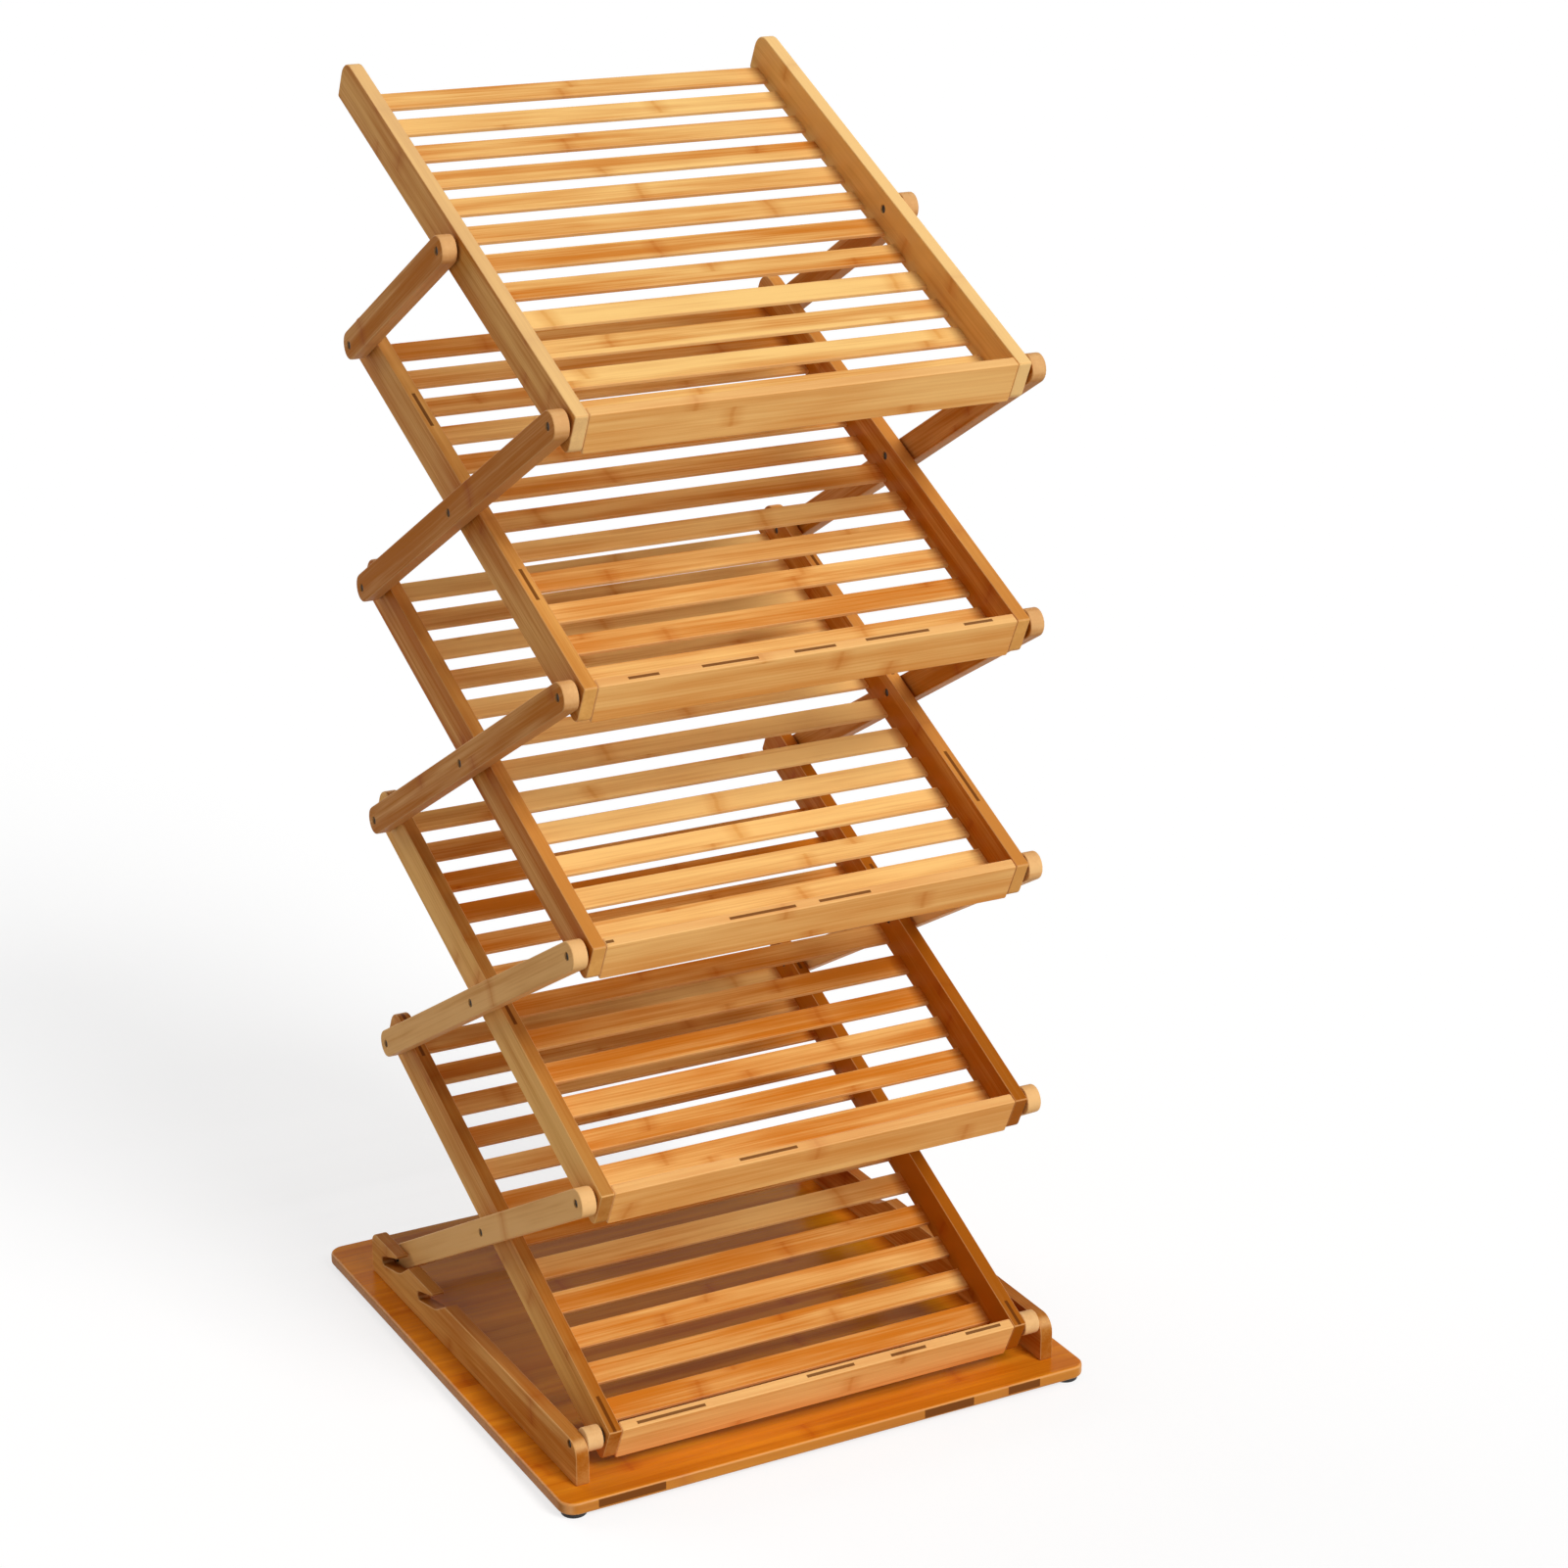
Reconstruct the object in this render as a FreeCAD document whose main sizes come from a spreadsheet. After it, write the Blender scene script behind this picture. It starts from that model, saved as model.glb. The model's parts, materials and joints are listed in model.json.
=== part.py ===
import FreeCAD, Part
import math
import os
import Sketcher

# Folding magazine rack: five slatted shelves and the struts that cross them form a scissor
# lattice that stands on a base board. Lengths are in millimetres and angles in degrees.
# +Z is up, +X is to the right seen from the front and the front faces -Y. The origin lies on
# the ground in the middle of the base board.

os.makedirs("parts", exist_ok=True)
doc = FreeCAD.newDocument("magazine_rack")
sheet = doc.addObject("Spreadsheet::Sheet", "sizes")

DRIVING_SIZES = [
    ("clear_width", 310, "free width between the two rails of a shelf"),
    ("arm_length", 372, "front pivot to rear pivot, on shelves and struts alike"),
    ("open_angle", 27.75, "half of the angle between a shelf and the strut crossing it"),
    ("tall_angle", 45.6, "the same half angle with the lock rod in the front slots"),
    ("lean_angle", 1.85, "backward lean of the lattice"),
    ("shelf_count", 5, "shelves, one above the other"),
    ("rail_thick", 10, "shelf rail across"),
    ("rail_depth", 31, "shelf rail from top edge to underside"),
    ("rail_above", 12, "pivot axis to the top edge of the rail"),
    ("rail_front", 8.5, "front pivot to the front end of the rail"),
    ("rail_rear", 23, "rear pivot to the upper end of the rail"),
    ("rail_end_round", 13, "rounding of the upper end, top side"),
    ("rail_toe_round", 6, "rounding of the lower end, underside"),
    ("lip_thick", 8, "front lip, front to back"),
    ("slat_count", 12, "slats of one shelf"),
    ("slat_width", 18.5, "slat along the shelf"),
    ("slat_thick", 3, "slat from top to bottom"),
    ("slat_first", 17.2, "front pivot to the first slat"),
    ("slat_rear", 10, "last slat to the upper end of the rail"),
    ("slat_drop", 24.8, "rail top edge to slat top"),
    ("slat_tenon", 4, "slat end let into the rail"),
    ("dowel_dia", 4, "lip dowel"),
    ("dowel_lip", 10, "dowel in the lip"),
    ("dowel_rail", 6, "dowel in the rail"),
    ("strut_thick", 11, "strut across"),
    ("strut_depth", 20, "strut from edge to edge"),
    ("side_gap", 2, "shelf rail to strut"),
    ("base_gap", 1, "strut to base rail"),
    ("pin_dia", 6, "pivot pin"),
    ("pin_recess", 1, "pin end below the face of the wood"),
    ("running_fit", 0.05, "radial play of a pin that turns in its hole"),
    ("washer_dia", 12, "pivot washer"),
    ("washer_play", 0.2, "washer to the shelf rail that turns beside it"),
    ("spacer_dia", 17, "round spacer at the front pivot"),
    ("rod_dia", 6, "lock rod through the rear ends of the lowest struts"),
    ("rod_play", 0.6, "end of the lock rod to the base rail"),
    ("slot_play", 0.5, "lock rod to the round end of its slot"),
    ("slot_run", 40, "lock rod to the middle of the mouth of its slot"),
    ("slot_mouth", 16, "mouth of a slot along the top of the base rail"),
    ("knee_run", 31, "lock rod to the bend in the floor of its slot"),
    ("knee_rise", 3, "the same bend above the lock rod"),
    ("knee_round", 30, "rounding of that bend"),
    ("tooth_round", 1.2, "rounding of the tooth over a slot"),
    ("base_rail_thick", 10, "base rail across"),
    ("base_rail_above", 4.5, "front pivot to the top of the base rail"),
    ("base_rail_front", 10.3, "front pivot to the front end of the base rail"),
    ("base_rail_rear", 23, "lock rod to the rear end of the base rail"),
    ("base_rail_nose", 12, "rounding at the front end of the base rail"),
    ("base_rail_heel", 9, "rounding at the rear end of the base rail"),
    ("pivot_height", 28, "front pivot above the base board"),
    ("board_thick", 9, "base board from top to bottom"),
    ("board_side", 18, "base rail to the side edge of the board"),
    ("board_front", 30.5, "front edge of the board to the front pivot"),
    ("board_rear", 50, "rear end of the base rail to the rear edge of the board"),
    ("board_corner", 12, "corner rounding of the board"),
    ("foot_dia", 18, "rubber foot"),
    ("foot_height", 4, "rubber foot below the board"),
    ("foot_inset", 12, "foot centre to the edges of the board"),
    ("screw_dia", 4, "screw shank"),
    ("screw_play", 0.2, "shank to its hole in the board"),
    ("screw_length", 22, "shank beyond its head"),
    ("screw_head_dia", 8, "screw head"),
    ("screw_head_height", 2.5, "screw head"),
    ("screw_end", 13, "outer screws to the ends of the base rail"),
]
for row, (alias, number, meaning) in enumerate(DRIVING_SIZES, start=1):
    sheet.set(f"A{row}", meaning)
    sheet.set(f"B{row}", str(number))
    sheet.setAlias(f"B{row}", alias)
doc.recompute()


class Size:
    """A length that carries its number together with the sheet formula it comes from."""

    def __init__(self, number, text):
        self.number = float(number)
        self.text = text

    def __add__(self, other):
        other = as_size(other)
        return Size(self.number + other.number, f"({self.text} + {other.text})")

    def __sub__(self, other):
        other = as_size(other)
        return Size(self.number - other.number, f"({self.text} - {other.text})")

    def __mul__(self, other):
        other = as_size(other)
        return Size(self.number * other.number, f"({self.text} * {other.text})")

    def __truediv__(self, other):
        other = as_size(other)
        return Size(self.number / other.number, f"({self.text} / {other.text})")

    def __neg__(self):
        return Size(-self.number, f"(-1 * {self.text})")


def as_size(value):
    """Plain numbers join in as they are."""
    if isinstance(value, Size):
        return value
    return Size(value, repr(float(value)))


def size(alias):
    """The driving size kept in the sheet under this name."""
    return Size(sheet.get(alias), f"sizes.{alias}")


def sine(angle):
    return Size(math.sin(math.radians(angle.number)), f"sin({angle.text} * 1 deg)")


def cosine(angle):
    return Size(math.cos(math.radians(angle.number)), f"cos({angle.text} * 1 deg)")


ZERO = as_size(0)


def bind(obj, prop, value):
    """Let one property follow the sheet."""
    obj.setExpression(prop, value.text)


def new_body(label):
    body = doc.addObject("PartDesign::Body", label)
    body.Label = label
    return body


def sketch_on(body, role, lift, name):
    """A sketch on one origin plane of the body, lifted along the plane's normal."""
    sketch = body.newObject("Sketcher::SketchObject", name)
    plane = [item for item in body.Origin.OriginFeatures if item.Role == role][0]
    sketch.AttachmentSupport = [(plane, "")]
    sketch.MapMode = "FlatFace"
    bind(sketch, ".AttachmentOffset.Base.z", lift)
    return sketch


def fix_point(sketch, curve, end, across, up):
    """Hold one point of a sketch at its distances from the sketch origin."""
    for kind, axis, value in (("DistanceX", -2, across), ("DistanceY", -1, up)):
        if abs(value.number) < 1e-9:
            sketch.addConstraint(Sketcher.Constraint("PointOnObject", curve, end, axis))
        elif value.number > 0:
            link = sketch.addConstraint(Sketcher.Constraint(kind, -1, 1, curve, end, value.number))
            sketch.setExpression(f"Constraints[{link}]", value.text)
        else:
            back = -value
            link = sketch.addConstraint(Sketcher.Constraint(kind, curve, end, -1, 1, back.number))
            sketch.setExpression(f"Constraints[{link}]", back.text)


def draw_rectangle(sketch, left, right, low, high):
    corners = [(left, low), (right, low), (right, high), (left, high)]
    spots = [FreeCAD.Vector(x.number, y.number, 0) for x, y in corners]
    first = sketch.GeometryCount
    for n in range(4):
        sketch.addGeometry(Part.LineSegment(spots[n], spots[(n + 1) % 4]), False)
    for n in range(4):
        after = first + (n + 1) % 4
        sketch.addConstraint(Sketcher.Constraint("Coincident", first + n, 2, after, 1))
        sketch.addConstraint(Sketcher.Constraint("Vertical" if n % 2 else "Horizontal", first + n))
    fix_point(sketch, first, 1, left, low)
    fix_point(sketch, first + 2, 1, right, high)


def draw_circle(sketch, across, up, radius):
    spot = FreeCAD.Vector(across.number, up.number, 0)
    ring = sketch.addGeometry(Part.Circle(spot, FreeCAD.Vector(0, 0, 1), radius.number), False)
    fix_point(sketch, ring, 3, across, up)
    link = sketch.addConstraint(Sketcher.Constraint("Radius", ring, radius.number))
    sketch.setExpression(f"Constraints[{link}]", radius.text)


def draw_slot(sketch, start, finish, radius):
    """Two half circles around the points start and finish, joined by straight sides."""
    x0, y0 = start[0].number, start[1].number
    x1, y1 = finish[0].number, finish[1].number
    heading = math.atan2(y1 - y0, x1 - x0)
    quarter = math.pi / 2
    side = FreeCAD.Vector(-math.sin(heading), math.cos(heading), 0) * radius.number
    near = FreeCAD.Vector(x0, y0, 0)
    far = FreeCAD.Vector(x1, y1, 0)
    up = FreeCAD.Vector(0, 0, 1)
    near_ring = Part.Circle(near, up, radius.number)
    far_ring = Part.Circle(far, up, radius.number)
    first = sketch.GeometryCount
    sketch.addGeometry(Part.ArcOfCircle(near_ring, heading + quarter, heading + 3 * quarter), False)
    sketch.addGeometry(Part.LineSegment(near - side, far - side), False)
    sketch.addGeometry(Part.ArcOfCircle(far_ring, heading - quarter, heading + quarter), False)
    sketch.addGeometry(Part.LineSegment(far + side, near + side), False)
    for n in range(4):
        after = first + (n + 1) % 4
        sketch.addConstraint(Sketcher.Constraint("Tangent", first + n, 2, after, 1))
    fix_point(sketch, first, 3, *start)
    fix_point(sketch, first + 2, 3, *finish)
    link = sketch.addConstraint(Sketcher.Constraint("Radius", first, radius.number))
    sketch.setExpression(f"Constraints[{link}]", radius.text)


def draw_hook(sketch, rod, knee, front_lip, rear_lip, above, radius):
    """A slot that falls from its mouth to a knee and on to a round end about the rod."""
    spots = [FreeCAD.Vector(across.number, up.number, 0) for across, up in (front_lip, knee, rear_lip)]
    roof = [FreeCAD.Vector(across.number, above.number, 0) for across, up in (rear_lip, front_lip)]
    middle = FreeCAD.Vector(rod[0].number, rod[1].number, 0)
    ring = Part.Circle(middle, FreeCAD.Vector(0, 0, 1), radius.number)
    touches = []
    for spot, turn in ((spots[1], -1), (spots[2], 1)):
        away = middle - spot
        heading = math.atan2(away.y, away.x) + turn * math.asin(radius.number / away.Length)
        square = FreeCAD.Vector(-math.sin(heading), math.cos(heading), 0)
        touches.append(middle + square * turn * radius.number)
    bearings = [math.atan2(touch.y - middle.y, touch.x - middle.x) for touch in touches]
    first = sketch.GeometryCount
    sketch.addGeometry(Part.LineSegment(spots[0], spots[1]), False)
    sketch.addGeometry(Part.LineSegment(spots[1], touches[0]), False)
    sketch.addGeometry(Part.ArcOfCircle(ring, *bearings), False)
    sketch.addGeometry(Part.LineSegment(touches[1], spots[2]), False)
    sketch.addGeometry(Part.LineSegment(spots[2], roof[0]), False)
    sketch.addGeometry(Part.LineSegment(roof[0], roof[1]), False)
    sketch.addGeometry(Part.LineSegment(roof[1], spots[0]), False)
    for n in range(7):
        after = first + (n + 1) % 7
        kind = "Tangent" if n in (1, 2) else "Coincident"
        sketch.addConstraint(Sketcher.Constraint(kind, first + n, 2, after, 1))
    fix_point(sketch, first, 1, *front_lip)
    fix_point(sketch, first + 1, 1, *knee)
    fix_point(sketch, first + 2, 3, *rod)
    fix_point(sketch, first + 4, 1, *rear_lip)
    fix_point(sketch, first + 5, 1, rear_lip[0], above)
    fix_point(sketch, first + 6, 1, front_lip[0], above)
    link = sketch.addConstraint(Sketcher.Constraint("Radius", first + 2, radius.number))
    sketch.setExpression(f"Constraints[{link}]", radius.text)


def pad(body, sketch, length, name):
    feature = body.newObject("PartDesign::Pad", name)
    feature.Profile = sketch
    bind(feature, "Length", length)
    sketch.Visibility = False
    body.Tip = feature
    doc.recompute()
    return feature


def pocket(body, sketch, depth, name, along_normal):
    """A cut from the sketch plane, along its normal or against it."""
    before = body.Tip.Shape.Volume
    feature = body.newObject("PartDesign::Pocket", name)
    feature.Profile = sketch
    feature.Reversed = along_normal
    bind(feature, "Length", depth)
    sketch.Visibility = False
    body.Tip = feature
    doc.recompute()
    if not feature.Shape.Volume < before - 1.0:
        raise RuntimeError(f"{body.Label}: {name} removes nothing")
    return feature


def edges_at(feature, direction, across, up):
    """Names of the straight edges along X or Z whose other two coordinates are given."""
    found = []
    for n, edge in enumerate(feature.Shape.Edges, start=1):
        ends = [vertex.Point for vertex in edge.Vertexes]
        if len(ends) != 2:
            continue
        if direction == "X":
            flat = [(p.y, p.z) for p in ends]
        else:
            flat = [(p.x, p.y) for p in ends]
        if all(abs(a - across) < 1e-4 and abs(b - up) < 1e-4 for a, b in flat):
            found.append(f"Edge{n}")
    return found


def round_edges(body, names, radius, name):
    base = body.Tip
    feature = body.newObject("PartDesign::Fillet", name)
    feature.Base = (base, names)
    bind(feature, "Radius", radius)
    body.Tip = feature
    doc.recompute()
    return feature


def cylinder(name, axis, start, length, radius):
    """A round bar from a start point along +X or +Z."""
    bar = doc.addObject("Part::Cylinder", name)
    bind(bar, "Radius", radius)
    bind(bar, "Height", length)
    for letter, value in zip("xyz", start):
        bind(bar, f".Placement.Base.{letter}", value)
    if axis == "X":
        bar.Placement = FreeCAD.Placement(
            FreeCAD.Vector(*[value.number for value in start]),
            FreeCAD.Rotation(FreeCAD.Vector(0, 1, 0), 90))
    return bar


def group(label, members):
    """Equal small pieces kept together as separate solids."""
    bundle = doc.addObject("Part::Compound", label)
    bundle.Label = label
    bundle.Links = members
    return bundle


pieces = []


def finish_piece(piece, y, z, turn, angle):
    """Put a piece in place: moved in the side view and turned about +X (1) or -X (-1)."""
    axis = FreeCAD.Vector(turn, 0, 0)
    spot = FreeCAD.Vector(0, y.number, z.number)
    piece.Placement = FreeCAD.Placement(spot, FreeCAD.Rotation(axis, angle.number))
    if angle.number:
        bind(piece, ".Placement.Base.y", y)
        bind(piece, ".Placement.Base.z", z)
        bind(piece, ".Placement.Rotation.Angle", angle)
    pieces.append(piece)


# Layers from the middle outwards on each side: shelf rail, gap, strut, gap, base rail.
rail_inner = size("clear_width") / 2
rail_outer = rail_inner + size("rail_thick")
strut_inner = rail_outer + size("side_gap")
strut_outer = strut_inner + size("strut_thick")
base_inner = strut_outer + size("base_gap")
base_outer = base_inner + size("base_rail_thick")
half_arm = size("arm_length") / 2
pin_radius = size("pin_dia") / 2
pin_hole = pin_radius + size("running_fit")

open_angle = size("open_angle")
lean = size("lean_angle")
arm = size("arm_length")
shelf_count = int(sheet.get("shelf_count"))

pitch = arm * sine(open_angle)
span = arm * cosine(open_angle)


def lattice_point(along, height):
    """A point of the lattice, which leans back, in the side view from its lowest front pivot."""
    y = along * cosine(lean) + height * sine(lean)
    z = height * cosine(lean) - along * sine(lean)
    return y, z


# The lock rod runs through the rear ends of the lowest struts.
rod_half = base_inner - size("rod_play")
rod_radius = size("rod_dia") / 2
slot_radius = rod_radius + size("slot_play")
head_deep = size("screw_head_height") + size("screw_play")


def lock_rod_at(half_angle):
    """The lock rod at one opening of the lattice, from the front pivot."""
    return lattice_point(arm * cosine(half_angle), ZERO)


# The base is as long as the slots need and the board reaches past it on all sides.
rod_offsets = [lock_rod_at(open_angle), lock_rod_at(size("tall_angle"))]
base_run = rod_offsets[0][0] + size("base_rail_rear")
board_half_width = base_outer + size("board_side")
board_half_depth = (size("board_front") + base_run + size("board_rear")) / 2
board_top = size("foot_height") + size("board_thick")
pivot_y = size("board_front") - board_half_depth
pivot_z = board_top + size("pivot_height")


def shelf_frame(level):
    """Origin on the front pivot axis, +Y up along the shelf, +Z square to it."""
    y, z = lattice_point(ZERO, pitch * (level - 1))
    return pivot_y + y, pivot_z + z, 1, open_angle - lean


def strut_frame(level):
    """Origin on the middle pivot axis, +Y down along the strut towards the rear."""
    y, z = lattice_point(span / 2, pitch * (level - 0.5))
    return pivot_y + y, pivot_z + z, -1, open_angle + lean


def slab_start(side, inner, thick):
    """Where a slab begins along +X when its inner face is this far from the middle."""
    if side > 0:
        return inner
    return -(inner + thick)


SIDES = (("left", -1), ("right", 1))
rail_low = size("rail_above") - size("rail_depth")
slat_high = size("rail_above") - size("slat_drop")
slat_low = slat_high - size("slat_thick")
rail_end = size("arm_length") + size("rail_rear")
slat_run = rail_end - size("slat_rear") - size("slat_first") - size("slat_width")
lip_middle = size("lip_thick") / 2 - size("rail_front")
dowel_spots = [rail_low + size("rail_depth") * 0.3, rail_low + size("rail_depth") * 0.85]


def make_shelf_rail(level, word, side):
    body = new_body(f"shelf_{level}_rail_{word}")
    outline = sketch_on(body, "YZ_Plane", slab_start(side, rail_inner, size("rail_thick")), "outline")
    draw_rectangle(outline, -size("rail_front"), rail_end, rail_low, size("rail_above"))
    draw_circle(outline, ZERO, ZERO, pin_hole)
    draw_circle(outline, half_arm, ZERO, pin_hole)
    if level < shelf_count:
        draw_circle(outline, size("arm_length"), ZERO, pin_hole)
    pad(body, outline, size("rail_thick"), "bar")
    upper = edges_at(body.Tip, "X", rail_end.number, size("rail_above").number)
    round_edges(body, upper, size("rail_end_round"), "upper_end")
    toe = edges_at(body.Tip, "X", -size("rail_front").number, rail_low.number)
    round_edges(body, toe, size("rail_toe_round"), "toe")
    inner_face = rail_inner if side > 0 else -rail_inner
    holes = sketch_on(body, "YZ_Plane", inner_face, "dowel_holes")
    for spot in dowel_spots:
        draw_circle(holes, lip_middle, spot, size("dowel_dia") / 2)
    pocket(body, holes, size("dowel_rail"), "dowel_seats", side > 0)
    seat = sketch_on(body, "YZ_Plane", inner_face, "slat_seat")
    draw_rectangle(seat, size("slat_first"), size("slat_first") + size("slat_width"), slat_low, slat_high)
    seat_cut = pocket(body, seat, size("slat_tenon"), "slat_seat_cut", side > 0)
    row = body.newObject("PartDesign::LinearPattern", "slat_seats")
    row.Originals = [seat_cut]
    row.Direction = (seat, ["H_Axis"])
    bind(row, "Length", slat_run)
    bind(row, "Occurrences", size("slat_count"))
    body.Tip = row
    finish_piece(body, *shelf_frame(level))


def make_lip(level):
    body = new_body(f"shelf_{level}_lip")
    outline = sketch_on(body, "YZ_Plane", -rail_inner, "outline")
    draw_rectangle(outline, -size("rail_front"), size("lip_thick") - size("rail_front"),
                   rail_low, size("rail_above"))
    pad(body, outline, size("clear_width"), "bar")
    for word, side in SIDES:
        end_face = rail_inner if side > 0 else -rail_inner
        holes = sketch_on(body, "YZ_Plane", end_face, f"dowel_holes_{word}")
        for spot in dowel_spots:
            draw_circle(holes, lip_middle, spot, size("dowel_dia") / 2)
        pocket(body, holes, size("dowel_lip"), f"dowel_seats_{word}", side < 0)
    finish_piece(body, *shelf_frame(level))


def make_lip_dowels(level):
    length = size("dowel_lip") + size("dowel_rail")
    bars = []
    for word, side in SIDES:
        start = rail_inner - size("dowel_lip") if side > 0 else -(rail_inner + size("dowel_rail"))
        for n, spot in enumerate(dowel_spots):
            name = f"dowel_{level}_{word}_{n}"
            bars.append(cylinder(name, "X", (start, lip_middle, spot), length, size("dowel_dia") / 2))
    finish_piece(group(f"shelf_{level}_lip_dowels", bars), *shelf_frame(level))


def make_slats(level):
    """One slat, let into both rails, repeated up the shelf as separate solids."""
    body = new_body(f"shelf_{level}_slats")
    body.AllowCompound = True
    outline = sketch_on(body, "YZ_Plane", -(rail_inner + size("slat_tenon")), "outline")
    draw_rectangle(outline, size("slat_first"), size("slat_first") + size("slat_width"), slat_low, slat_high)
    slat = pad(body, outline, size("clear_width") + size("slat_tenon") * 2, "slat")
    row = body.newObject("PartDesign::LinearPattern", "slat_row")
    row.Originals = [slat]
    row.Direction = (outline, ["H_Axis"])
    bind(row, "Length", slat_run)
    bind(row, "Occurrences", size("slat_count"))
    body.Tip = row
    finish_piece(body, *shelf_frame(level))


def strut_pivots(level):
    """Pivot positions along one strut; the top one only reaches from its middle down."""
    if level == shelf_count:
        return [ZERO, half_arm]
    return [-half_arm, ZERO, half_arm]


def pinned_spots(level):
    """Pivots that carry a pin; the lowest struts hold the lock rod in their rear ends."""
    spots = strut_pivots(level)
    if level == 1:
        return spots[:-1]
    return spots


def make_strut(level, word, side):
    body = new_body(f"strut_{level}_{word}")
    outline = sketch_on(body, "YZ_Plane", slab_start(side, strut_inner, size("strut_thick")), "outline")
    pivots = strut_pivots(level)
    draw_slot(outline, (pivots[0], ZERO), (pivots[-1], ZERO), size("strut_depth") / 2)
    for spot in pinned_spots(level):
        draw_circle(outline, spot, ZERO, pin_radius)
    if level == 1:
        draw_circle(outline, half_arm, ZERO, rod_radius)
    pad(body, outline, size("strut_thick"), "bar")
    finish_piece(body, *strut_frame(level))


def make_strut_pins(level):
    """Pins held in the struts; the shelf rails turn on them."""
    length = strut_outer - rail_inner - size("pin_recess") * 2
    bars = []
    for word, side in SIDES:
        start = rail_inner + size("pin_recess") if side > 0 else size("pin_recess") - strut_outer
        for n, spot in enumerate(pinned_spots(level)):
            name = f"pin_{level}_{word}_{n}"
            bars.append(cylinder(name, "X", (start, spot, ZERO), length, pin_radius))
    finish_piece(group(f"strut_{level}_pins", bars), *strut_frame(level))


def make_ring(name, start, spot, length, radius):
    """A round collar on a pivot pin."""
    disc = cylinder(f"{name}_disc", "X", (start, spot, ZERO), length, radius)
    bore = cylinder(f"{name}_bore", "X", (start, spot, ZERO), length, pin_radius)
    ring = doc.addObject("Part::Cut", name)
    ring.Base = disc
    ring.Tool = bore
    return ring


washer_thick = size("side_gap") - size("washer_play")


def make_washer(name, side, spot):
    """A washer against the strut layer, clear of the shelf rail that turns beside it."""
    start = strut_inner - washer_thick if side > 0 else -strut_inner
    return make_ring(name, start, spot, washer_thick, size("washer_dia") / 2)


def make_strut_washers(level):
    """Washers on the pins keep the struts clear of the shelf rails."""
    rings = []
    for word, side in SIDES:
        for n, spot in enumerate(pinned_spots(level)):
            rings.append(make_washer(f"washer_{level}_{word}_{n}", side, spot))
    finish_piece(group(f"strut_{level}_washers", rings), *strut_frame(level))


def make_screw(name, x, y, foot, length):
    """A flat-headed screw that stands head down."""
    head = cylinder(f"{name}_head", "Z", (x, y, foot), size("screw_head_height"),
                    size("screw_head_dia") / 2)
    shank = cylinder(f"{name}_shank", "Z", (x, y, foot + size("screw_head_height")), length,
                     size("screw_dia") / 2)
    screw = doc.addObject("Part::Fuse", name)
    screw.Base = head
    screw.Tool = shank
    return screw


def make_lock_rod():
    """Cross rod in the rear ends of the lowest struts; it drops into the slots of the base rails."""
    rod = cylinder("rod", "X", (-rod_half, half_arm, ZERO), rod_half * 2, rod_radius)
    finish_piece(group("lock_rod", [rod]), *strut_frame(1))


# The base keeps its own upright frame: origin on the ground in the middle of the board.
AT_HOME = (ZERO, ZERO, 1, ZERO)
base_top = pivot_z + size("base_rail_above")
base_front = pivot_y - size("base_rail_front")
base_rear = pivot_y + base_run
rod_spots = [(pivot_y + y, pivot_z + z) for y, z in rod_offsets]
screw_x = (base_inner + base_outer) / 2
screw_spots = [
    base_front + size("screw_end"),
    (base_front + base_rear) / 2,
    base_rear - size("screw_end"),
]


def make_base_board():
    body = new_body("base_board")
    outline = sketch_on(body, "XY_Plane", size("foot_height"), "outline")
    draw_rectangle(outline, -board_half_width, board_half_width, -board_half_depth, board_half_depth)
    pad(body, outline, size("board_thick"), "board")
    corners = []
    for x in (-1, 1):
        for y in (-1, 1):
            corners += edges_at(body.Tip, "Z", x * board_half_width.number, y * board_half_depth.number)
    round_edges(body, corners, size("board_corner"), "corners")
    seats = sketch_on(body, "XY_Plane", size("foot_height"), "head_seats")
    holes = sketch_on(body, "XY_Plane", size("foot_height"), "shank_holes")
    for side in (-1, 1):
        for spot in screw_spots:
            draw_circle(seats, screw_x * side, spot, size("screw_head_dia") / 2 + size("screw_play"))
            draw_circle(holes, screw_x * side, spot, size("screw_dia") / 2 + size("screw_play"))
    pocket(body, seats, head_deep, "head_seat_cut", True)
    pocket(body, holes, size("board_thick"), "shank_hole_cut", True)
    finish_piece(body, *AT_HOME)


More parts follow.
